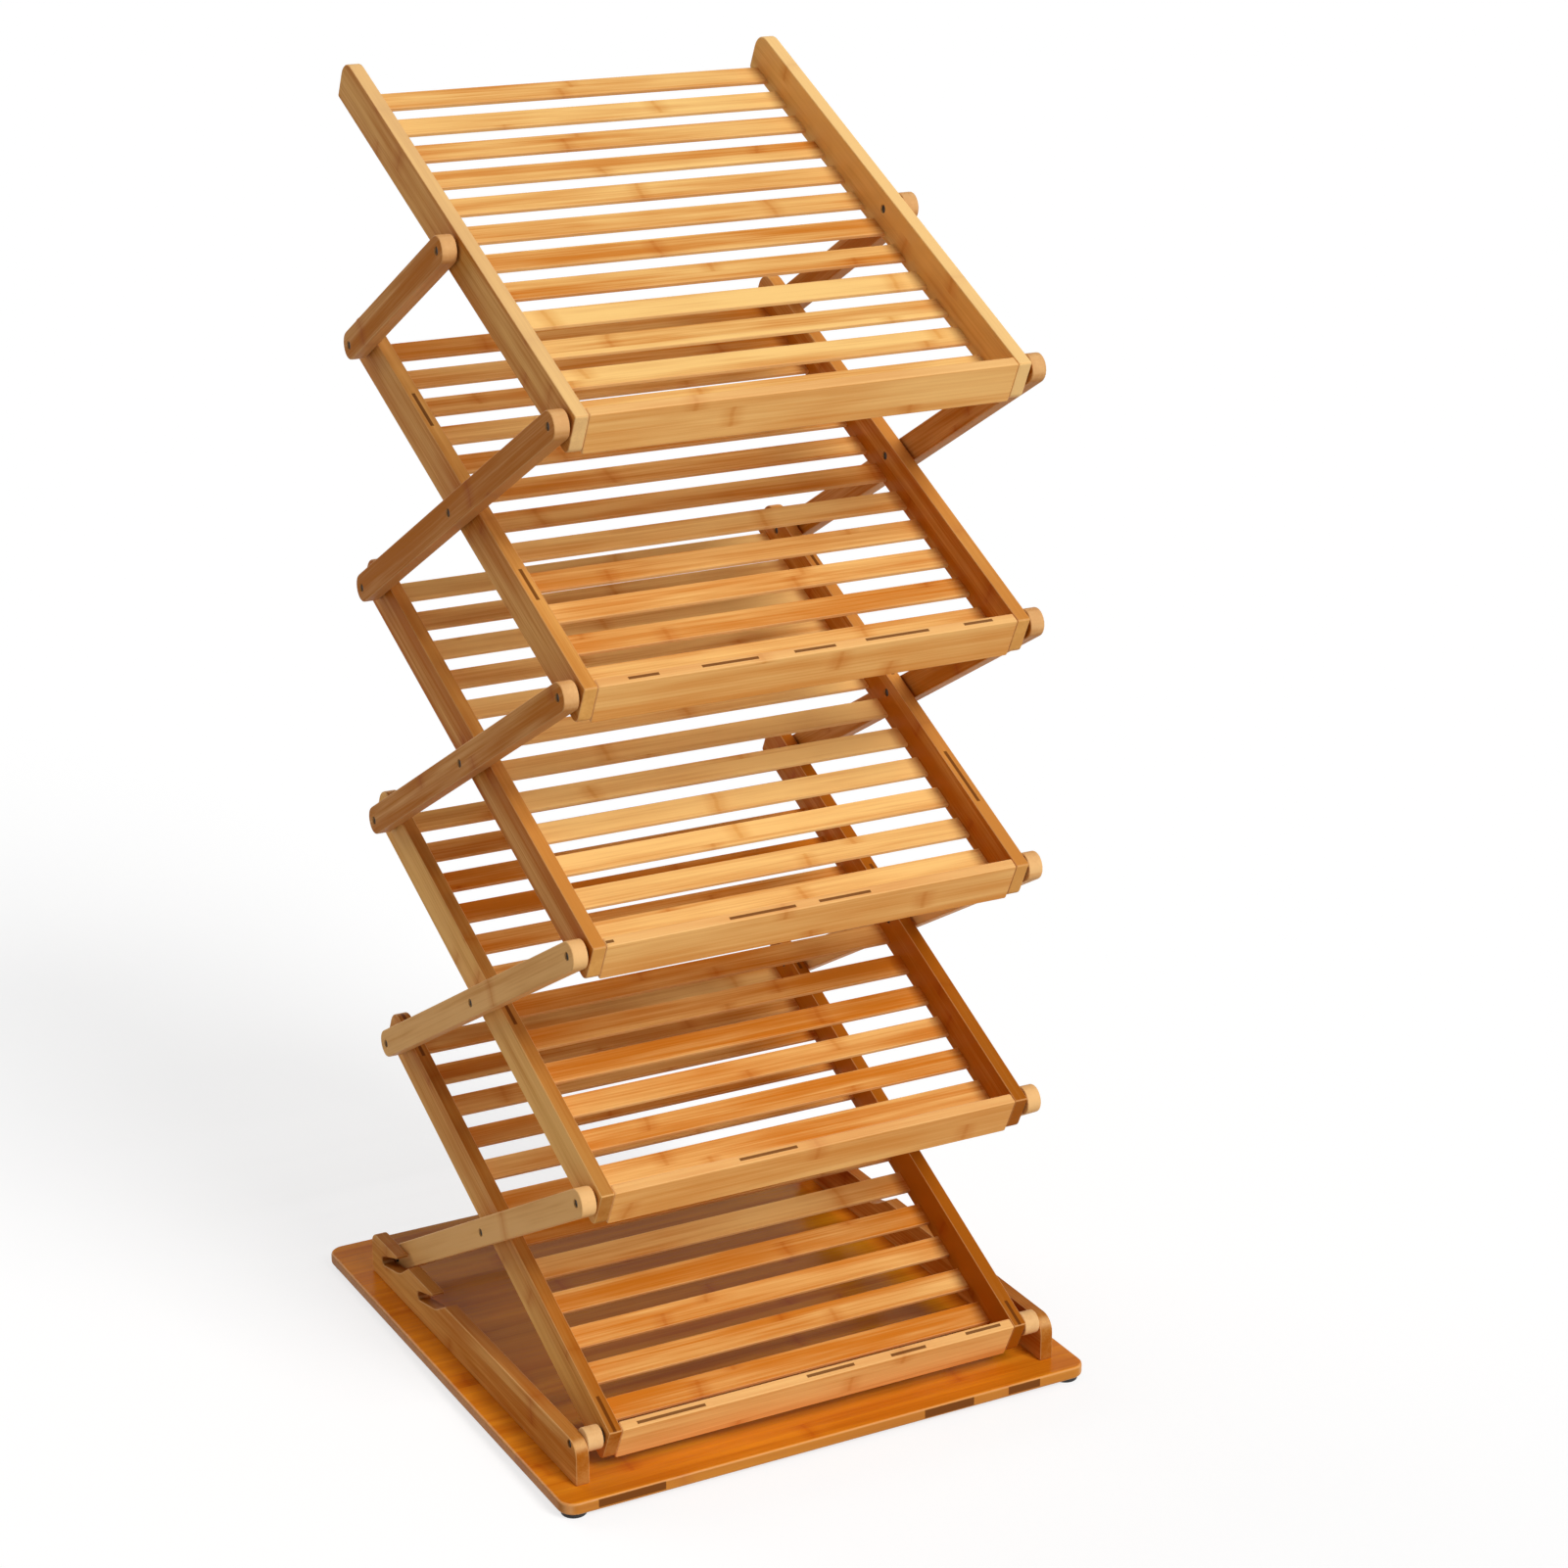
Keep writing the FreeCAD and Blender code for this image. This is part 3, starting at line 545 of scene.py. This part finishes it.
def bamboo(name, pale, deep, strip, roughness, coat, dash_half=0.0, rim=CUT_END, rim_share=0.3):
    """Varnished bamboo between two tones, glued up from strips of one width."""
    material = bpy.data.materials.new(name)
    material.use_nodes = True
    tree = material.node_tree
    shader = tree.nodes["Principled BSDF"]
    grain = add(tree, "Attribute", attribute_name="grain").outputs["Vector"]
    facing = add(tree, "Attribute", attribute_name="facing").outputs["Vector"]
    through = add(tree, "Attribute", attribute_name="through").outputs["Fac"]
    tone = add(tree, "Attribute", attribute_name="tone").outputs["Fac"]
    along, across, deepness = add(tree, "SeparateXYZ", {0: grain}).outputs
    end, edge, face = add(tree, "SeparateXYZ", {0: facing}).outputs
    fibre = stretched_noise(tree, grain, FIBRE_SCALE)
    streak = stretched_noise(tree, grain, STREAK_SCALE, detail=2.0)
    cloud = stretched_noise(tree, grain, CLOUD_SCALE, detail=2.0)
    strip_number = maths(tree, "FLOOR", maths(tree, "DIVIDE", across, strip))
    strip_tone = dice_roll(tree, strip_number, maths(tree, "FLOOR", deepness))
    band, line = cane_joints(tree, along, cloud, strip_tone)

    depth = maths(tree, "MULTIPLY", fibre, FIBRE_SHARE)
    depth = maths(tree, "MULTIPLY_ADD", streak, STREAK_SHARE, depth)
    depth = maths(tree, "MULTIPLY_ADD", cloud, CLOUD_SHARE, depth)
    depth = maths(tree, "MULTIPLY_ADD", strip_tone, STRIP_SHARE, depth)
    depth = maths(tree, "MULTIPLY_ADD", tone, -TONE_SHARE, depth)
    depth = maths(tree, "ADD", depth, START_DEPTH)
    colour = blend_colours(tree, between(tree, depth, 0.0, 1.0), pale, deep)
    joint_colour = blend_colours(tree, 1.0, colour, JOINT_TINT, "MULTIPLY")
    joint = maths(tree, "MULTIPLY_ADD", line, LINE_SHARE, band)
    joint_share = maths(tree, "MULTIPLY", joint, JOINT_SHARE)
    colour = blend_colours(tree, joint_share, colour, joint_colour)

    # Narrow edges take the rim colour. On most bars it is the paler cut edge; on the rails a dark rim is
    # painted shade and a pale rim is painted light.
    cut_edge_and_painted_lighting = between(tree, edge, *CUT_FACING, end=rim_share)
    cut_end = between(tree, end, *CUT_FACING, end=CUT_SHARE)
    colour = blend_colours(tree, maths(tree, "MAXIMUM", cut_edge_and_painted_lighting, cut_end), colour, rim)
    # Painted highlight: the rounded arrises are blended towards the pale end colour.
    broadest = maths(tree, "MAXIMUM", maths(tree, "MAXIMUM", end, edge), face)
    painted_arris_highlight = between(tree, broadest, *ARRIS_HIGHLIGHT_FACING, end=ARRIS_HIGHLIGHT_SHARE)
    colour = blend_colours(tree, painted_arris_highlight, colour, CUT_END)
    if dash_half:
        seed = maths(tree, "FLOOR", maths(tree, "MULTIPLY", deepness, DASH_SEEDS))
        skin = add(tree, "Attribute", attribute_name="skin").outputs["Fac"]
        dash = edge_dashes(tree, along, through, edge, seed, skin, dash_half)
        colour = blend_colours(tree, maths(tree, "MULTIPLY", dash, DASH_SHARE), colour, DASH_BROWN)
    wire(tree, shader.inputs["Base Color"], colour)

    dull = maths(tree, "MULTIPLY_ADD", streak, STREAK_DULLING, roughness - STREAK_DULLING / 2)
    wire(tree, shader.inputs["Roughness"], maths(tree, "MULTIPLY_ADD", fibre, FIBRE_DULLING, dull))
    relief = maths(tree, "MULTIPLY_ADD", line, LINE_RELIEF, fibre)
    bump = add(tree, "Bump", {"Height": relief, "Strength": 0.12, "Distance": 0.3 * MM})
    wire(tree, shader.inputs["Normal"], bump.outputs[0])
    shader.inputs["Specular IOR Level"].default_value = SPECULAR
    shader.inputs["Coat Weight"].default_value = coat
    shader.inputs["Coat Roughness"].default_value = VARNISH_ROUGHNESS
    return material


# %% [markdown]
# ## One finish for each kind of bar
# The slats and lips are the palest bars, and the board is a deep, glossy orange. The rails share one
# figure and come with dark, plain and pale edges. The dark edges are painted shade, on the lower rails
# and the base rails where the light is kept off, and the pale edges of the top rails are painted light.

# %% Bamboo for each kind of bar
NARROW_DASH = 1.5 * MM
BOARD_DASH = 3.4 * MM
# Rail edge colours: dark is painted shade, pale is painted light, plain is the cane's own edge colour.
RAIL_EDGE_PAINTED_LIGHTING = {
    "dark": (paint(150, 80, 14), 0.6),
    "plain": (paint(242, 184, 104), 0.3),
    "pale": (paint(252, 214, 150), 0.6),
}

slat_bamboo = bamboo("slat_bamboo", pale=paint(251, 205, 128), deep=paint(204, 118, 30), strip=22 * MM,
                     roughness=0.42, coat=0.0)
rail_bamboo = {}
for word, (rim, rim_share) in RAIL_EDGE_PAINTED_LIGHTING.items():
    rail_bamboo[word] = bamboo(f"{word}_painted_lighting_edge_bamboo", pale=paint(240, 182, 100), deep=paint(184, 102, 16),
                               strip=16 * MM, roughness=0.42, coat=0.0, dash_half=NARROW_DASH, rim=rim,
                               rim_share=rim_share)
lip_bamboo = bamboo("lip_bamboo", pale=paint(250, 196, 120), deep=paint(220, 144, 66), strip=16 * MM,
                    roughness=0.40, coat=0.02, dash_half=NARROW_DASH)
strut_bamboo = bamboo("strut_bamboo", pale=paint(234, 178, 108), deep=paint(180, 102, 12), strip=22 * MM,
                      roughness=0.45, coat=0.0)
board_bamboo = bamboo("board_bamboo", pale=paint(236, 148, 34), deep=paint(194, 102, 8), strip=20 * MM,
                      roughness=0.26, coat=0.08, dash_half=BOARD_DASH, rim=paint(178, 120, 58),
                      rim_share=0.6)
spacer_bamboo = bamboo("spacer_bamboo", pale=paint(242, 200, 142), deep=paint(206, 150, 88), strip=6 * MM,
                       roughness=0.50, coat=0.0)
print("bamboo finishes:", [m.name for m in bpy.data.materials if "bamboo" in m.name])

# %% [markdown]
# ## The shelf rails
# Each shelf hangs between two bars on edge. The lower front corner is rounded off so that it clears
# what is under it, and the upper rear corner has a larger curve, like the end of a ruler. Three small
# holes take the pivot pins. On the top shelf only two are needed.

# %% Shelf rails
EASE = 1.0 * MM
CORNER = 1.6 * MM
TOE_ROUND = 6 * MM
END_ROUND = 13 * MM
PIN_HOLE = 3.05 * MM
# Left rails: the cane's own tones. Right rails: painted shade, darker on the lower shelves where the shelf
# above shades their inner faces, and palest on the top shelf as painted light.
RAIL_TONES_AND_PAINTED_LIGHTING = {
    "left": {1: 0.55, 2: 0.75, 3: 0.1, 4: 0.4, 5: 0.4},
    "right": {1: -0.15, 2: -0.1, 3: -0.1, 4: 0.1, 5: 1.0},
}
# The lower rails have their edges painted dark as shade from the shelf above; the top rails' edges are
# painted pale as light.
RAIL_EDGE_LIGHTING_BY_LEVEL = {1: "dark", 2: "dark", 3: "plain", 4: "plain", 5: "pale"}
RAIL_SKIN = {1: 0.25, 2: 0.25, 3: 0.25, 4: 0.25, 5: 0.0}

side_view = axes_of(climb, shelf_up)
for level in LEVELS:
    pins = [0.0, half_arm] if level == LEVELS[-1] else [0.0, half_arm, 2 * half_arm]
    for word in SIDES:
        node = f"shelf_{level}_rail_{word}"
        low, high = reach(node, front[level], side_view)
        radii = [TOE_ROUND, CORNER, END_ROUND, CORNER]
        loops = [rounded_outline(box_corners(low, high), radii)]
        loops += [bored_hole((spot, 0.0), PIN_HOLE) for spot in pins]
        rail = bar(loops, low[2], high[2], EASE, front[level], side_view, RAIL_TONES_AND_PAINTED_LIGHTING[word][level],
                   RAIL_SKIN[level])
        make_piece(f"rail_{word}_{level}", [rail], rail_bamboo[RAIL_EDGE_LIGHTING_BY_LEVEL[level]], "bamboo_rail",
                   f"shelf_{level}", node)

# %% [markdown]
# ## The lips
# A lip closes the front of each shelf and keeps the magazines from sliding off. It is a plain bar
# between the rails, seen broadside, so its outline lies across the rack and its thickness runs
# forward. Its long arrises catch the light as two thin lines along the top edge.

# %% Lips
LIP_SKIN = {1: 0.9, 2: 0.55, 3: 0.3, 4: 0.9, 5: 0.1}
LIP_TONES = (0.4, 0.65)

lip_view = axes_of(WIDE, shelf_up)
for level in LEVELS:
    node = f"shelf_{level}_lip"
    low, high = reach(node, front[level], lip_view)
    lip = bar([rounded_outline(box_corners(low, high), CORNER)], low[2], high[2], EASE, front[level],
              lip_view, dice.uniform(*LIP_TONES), LIP_SKIN[level])
    make_piece(f"lip_{level}", [lip], lip_bamboo, "bamboo_lip", f"shelf_{level}", node)

# %% [markdown]
# ## The slats
# Twelve thin slats make the bed of each shelf. They are alike in shape, but no two pieces of cane are
# alike in colour, so each one rolls its own tone. Their ends run on into the rails, as real tenons do.

# %% Slats
SLAT_COUNT = 12
SLAT_WIDTH = 18.5 * MM
SLAT_EASE = 0.7 * MM
SHELF_TONES = {1: 0.32, 2: 0.28, 3: 0.85, 4: 0.44, 5: 0.62}
TONE_SPREAD = 0.22

slat_view = axes_of(WIDE, climb)
for level in LEVELS:
    node = f"shelf_{level}_slats"
    low, high = reach(node, front[level], slat_view)
    slats = []
    for start in np.linspace(low[1], high[1] - SLAT_WIDTH, SLAT_COUNT):
        corners = box_corners((low[0], start), (high[0], start + SLAT_WIDTH))
        tone = SHELF_TONES[level] + dice.uniform(-TONE_SPREAD, TONE_SPREAD)
        slats.append(bar([rounded_outline(corners, CORNER)], low[2], high[2], SLAT_EASE, front[level],
                         slat_view, tone))
    make_piece(f"slats_{level}", slats, slat_bamboo, "bamboo_slat", f"shelf_{level}", node)

# %% [markdown]
# ## The struts
# The other half of each cross: a pair of bars with fully rounded ends outside the shelf rails. The
# struts are coloured darker towards the top of the rack. The lowest pair holds a long rod in its rear
# holes instead of pins, and the top pair only reaches from its middle to the rear. The rounding stops
# just short of half the width, so that two arcs never end on the same point.

# %% Struts
STRUT_TONES = {1: 0.9, 2: 1.0, 3: 0.1, 4: 0.0, 5: 0.2}
NEARLY = 0.97

strut_view = axes_of(fall, strut_up)
for level in LEVELS:
    spots = [-half_arm, 0.0, half_arm]
    if level == LEVELS[-1]:
        spots = spots[1:]
    for word in SIDES:
        node = f"strut_{level}_{word}"
        low, high = reach(node, cross[level], strut_view)
        loops = [rounded_outline(box_corners(low, high), (high[1] - low[1]) / 2 * NEARLY)]
        loops += [bored_hole((spot, 0.0), PIN_HOLE) for spot in spots]
        strut = bar(loops, low[2], high[2], EASE, cross[level], strut_view, STRUT_TONES[level])
        make_piece(f"strut_{word}_{level}", [strut], strut_bamboo, "bamboo_strut", f"struts_{level}", node)

# %% [markdown]
# ## The base
# A glossy board carries two low rails. Each rail has a rounded nose at the front, where the lowest
# shelf is pinned, and two hooked slots behind it. The rod in the lowest struts drops into one of them:
# the rear one when the rack stands as it does here, the front one when it is drawn up tall. So the
# slots are found by folding: the rod is turned about the hinges to where it will lie. From there each
# slot runs forward, bends up at a knee and comes out at the top under a pointed tooth.

# %% Base board and rails
BOARD_CORNER = 12 * MM
BOARD_EASE = 2.0 * MM
BOARD_TONE = 0.5
BOARD_SKIN = 0.4
BASE_RAIL_TONE = 0.35
BASE_RAIL_SKIN = 0.25
NOSE_ROUND = 12 * MM
HEEL_ROUND = 9 * MM
SLOT_END = 3.5 * MM
SLOT_RUN = 40 * MM
SLOT_MOUTH = 16 * MM
KNEE_RUN = 31 * MM
KNEE_RISE = 3 * MM
KNEE_ROUND = 30 * MM
TOOTH_ROUND = 1.2 * MM
ORIGIN = np.zeros(3)


def turned(points, angle):
    """Turns points about the X axis: y' = y cos a - z sin a, z' = y sin a + z cos a."""
    cosine, sine = math.cos(angle), math.sin(angle)
    return points @ np.array([(1, 0, 0), (0, cosine, sine), (0, -sine, cosine)])


def lock_rod_at(angle):
    """The lock rod in the side view when the lowest shelf has turned by an angle.

    The middle of the shelf turns about the front hinge, and the strut there turns back as far.
    """
    middle = front[1] + turned(cross[1] - front[1], angle)
    return (middle + turned(half_arm * fall, -angle))[1:]


def behind_circle(point, centre, radius, side):
    """Where a line from a point, touching a circle above (1) or below (-1), meets its rear upright.

    With d from the point to the centre, the line climbs at the angle of d +- asin(radius / length of d).
    """
    away = centre - point
    slope = math.atan2(away[1], away[0]) + side * math.asin(radius / np.linalg.norm(away))
    run = away[0] + radius
    return point + np.array([run, run * math.tan(slope)])


tall_turn = math.radians(joints["fold"]["range_deg"][1])
plan_view = axes_of(WIDE, DEEP)
low, high = reach("base_board", ORIGIN, plan_view)
outline = rounded_outline(box_corners(low, high), BOARD_CORNER, steps=10)
board = bar([outline], low[2], high[2], BOARD_EASE, ORIGIN, plan_view, BOARD_TONE, BOARD_SKIN)
make_piece("board", [board], board_bamboo, "bamboo_board", "base", "base_board")

upright_view = axes_of(DEEP, HIGH)
for word in SIDES:
    node = f"base_rail_{word}"
    low, high = reach(node, ORIGIN, upright_view)
    *corners, nose = box_corners(low, high)
    radii = [CORNER, CORNER, HEEL_ROUND]
    for angle in (0.0, tall_turn):
        rod = lock_rod_at(angle)
        tooth = np.array([rod[0] - SLOT_RUN + SLOT_MOUTH / 2, high[1]])
        knee = rod + (-KNEE_RUN, KNEE_RISE)
        corners += [tooth, behind_circle(tooth, rod, SLOT_END, 1), behind_circle(knee, rod, SLOT_END, -1),
                    knee, tooth - (SLOT_MOUTH, 0.0)]
        radii += [TOOTH_ROUND, SLOT_END * NEARLY, SLOT_END * NEARLY, KNEE_ROUND, CORNER]
    corners.append(nose)
    radii.append(NOSE_ROUND)
    loops = [rounded_outline(corners, radii), bored_hole(front[1][1:], PIN_HOLE)]
    rail = bar(loops, low[2], high[2], EASE, ORIGIN, upright_view, BASE_RAIL_TONE, BASE_RAIL_SKIN)
    # The base rails' edges are painted dark as shade, like those of the lowest shelves.
    make_piece(f"base_bar_{word}", [rail], rail_bamboo["dark"], "bamboo_rail", "base", node)

# %% [markdown]
# ## The board in the shade
# Under the shelves the board looks much darker than along its edges, mostly because it lies in their
# shade. The wide suns here leave more light there, so a tint stands in for part of that shade. A darker
# board would darken its edges too. Object coordinates tell the material where the middle is, and the
# tint multiplies the finished colour.

# %% Board in the shade
SHADE_TINT = (0.64, 0.71, 0.50, 1.0)
SHADE_HALF_WIDTH = 172 * MM
SHADE_FRONT = -188 * MM
SHADE_BLUR = 14 * MM

tree = board_bamboo.node_tree
finish = tree.nodes["Principled BSDF"].inputs["Base Color"]
place = add(tree, "SeparateXYZ", {0: add(tree, "TexCoord").outputs["Object"]}).outputs
sideways = maths(tree, "ABSOLUTE", place[0])
between_rails = between(tree, sideways, SHADE_HALF_WIDTH, SHADE_HALF_WIDTH - SHADE_BLUR)
behind_lip = between(tree, place[1], SHADE_FRONT, SHADE_FRONT + SHADE_BLUR)
shade = maths(tree, "MULTIPLY", between_rails, behind_lip)
wire(tree, finish, blend_colours(tree, shade, finish.links[0].from_socket, SHADE_TINT, "MULTIPLY"))
print("board shaded over", round(2 * SHADE_HALF_WIDTH / MM), "mm of its width")

# %% [markdown]
# ## Metal, rubber and dowels
# The pins, the washers and the lock rod are blackened steel, dulled by handling: a metal shader whose
# roughness is broken up by fine noise. The feet are black rubber. These have no grain to follow, so
# their finishes read the piece's own object coordinates.

# %% Steel, rubber and dowel finishes
SPECKLE_LOW, SPECKLE_HIGH = 0.3, 0.7


def speckled(name, dark, light, metallic, rough_low, rough_high, scale):
    """A fine-grained finish: noise moves the colour, the roughness and a slight relief together."""
    material = bpy.data.materials.new(name)
    material.use_nodes = True
    tree = material.node_tree
    shader = tree.nodes["Principled BSDF"]
    place = add(tree, "TexCoord").outputs["Object"]
    speckle = add(tree, "TexNoise", {"Vector": place, "Scale": scale, "Detail": 4.0}).outputs[0]
    wire(tree, shader.inputs["Base Color"], blend_colours(tree, speckle, dark, light))
    roughness = between(tree, speckle, SPECKLE_LOW, SPECKLE_HIGH, rough_low, rough_high)
    wire(tree, shader.inputs["Roughness"], roughness)
    bump = add(tree, "Bump", {"Height": speckle, "Strength": 0.1, "Distance": 0.1 * MM})
    wire(tree, shader.inputs["Normal"], bump.outputs[0])
    shader.inputs["Metallic"].default_value = metallic
    return material


steel = speckled("black_steel", dark=paint(44, 36, 30), light=paint(84, 74, 64), metallic=1.0,
                 rough_low=0.35, rough_high=0.55, scale=900.0)
rubber = speckled("black_rubber", dark=paint(24, 24, 25), light=paint(44, 43, 42), metallic=0.0,
                  rough_low=0.6, rough_high=0.8, scale=1200.0)
dowel_wood = speckled("dowel_wood", dark=paint(196, 144, 86), light=paint(224, 178, 116), metallic=0.0,
                      rough_low=0.5, rough_high=0.65, scale=400.0)
print("plain finishes:", steel.name, rubber.name, dowel_wood.name)

# %% [markdown]
# ## Pins, washers, spacers and feet
# What turns, or is turned on a lathe, is a disc or a ring across the rack. Each is the same eased
# plate with a circle for its outline, so no cylinder with hard rims is needed. The pins sit at the
# hinges, in pairs, and the long rod takes the place of one pair in the lowest struts. The feet are
# discs too, but lie flat.

# %% Discs and rings
def two_sides(node):
    """A paired piece's inner and outer reach: its least and greatest distance from the plane x = 0."""
    distance = np.abs(measured_points(node)[:, 0])
    return float(distance.min()), float(distance.max())


def turned_pieces(name, node, spots, radius, hole, ease, finish, slot, body):
    """Discs or rings on both sides of the rack, one for each pivot."""
    inner, outer = two_sides(node)
    bars = []
    for spot in spots:
        for side in SIDES.values():
            low, high = sorted((side * inner, side * outer))
            loops = [round_outline(spot[1:], radius)]
            if hole:
                loops.append(bored_hole(spot[1:], hole))
            bars.append(bar(loops, low, high, ease, ORIGIN, upright_view))
    make_piece(name, bars, finish, slot, body, node)


# %% Pins, washers, spacers and feet
PIN_RADIUS = 3 * MM
WASHER_RADIUS = 6 * MM
SPACER_RADIUS = 8.5 * MM
FOOT_RADIUS = 9 * MM
PIN_EASE = 0.4 * MM

for level in LEVELS:
    spots = [cross[level]]
    if level != LEVELS[-1]:
        spots.append(front[level + 1])
    if level != LEVELS[0]:
        spots.append(cross[level] + half_arm * fall)
    turned_pieces(f"pins_{level}", f"strut_{level}_pins", spots, PIN_RADIUS, None, PIN_EASE, steel, "steel",
                  f"struts_{level}")
    turned_pieces(f"washers_{level}", f"strut_{level}_washers", spots, WASHER_RADIUS, PIN_HOLE, PIN_EASE,
                  steel, "steel_washer", f"struts_{level}")

low, high = reach("lock_rod", ORIGIN, upright_view)
rod = bar([round_outline(lock_rod_at(0.0), PIN_RADIUS)], low[2], high[2], PIN_EASE, ORIGIN, upright_view)
make_piece("lock_cross_rod", [rod], steel, "steel", "struts_1", "lock_rod")

turned_pieces("front_pins", "front_pivot_pins", [front[1]], PIN_RADIUS, None, PIN_EASE, steel, "steel",
              "base")
turned_pieces("front_rings", "front_washers", [front[1]], WASHER_RADIUS, PIN_HOLE, PIN_EASE, steel,
              "steel_washer", "base")
turned_pieces("spacers", "front_spacers", [front[1]], SPACER_RADIUS, PIN_HOLE, EASE, spacer_bamboo,
              "bamboo_spacer", "base")

low, high = reach("rubber_feet", ORIGIN, plan_view)
feet = [bar([round_outline((x, y), FOOT_RADIUS)], low[2], high[2], EASE, ORIGIN, plan_view)
        for x in (low[0] + FOOT_RADIUS, high[0] - FOOT_RADIUS)
        for y in (low[1] + FOOT_RADIUS, high[1] - FOOT_RADIUS)]
make_piece("feet", feet, rubber, "rubber", "base", "rubber_feet")

# %% [markdown]
# ## The hidden fasteners
# Screws and dowels keep their measured shapes, since little of them shows. They only take a finish.

# %% Screws and dowels
for name, node in frame["nodes"].items():
    if name.endswith(("_screws", "_dowels")):
        node.data.materials.clear()
        node.data.materials.append(steel if name.endswith("_screws") else dowel_wood)
        print("finished", name)
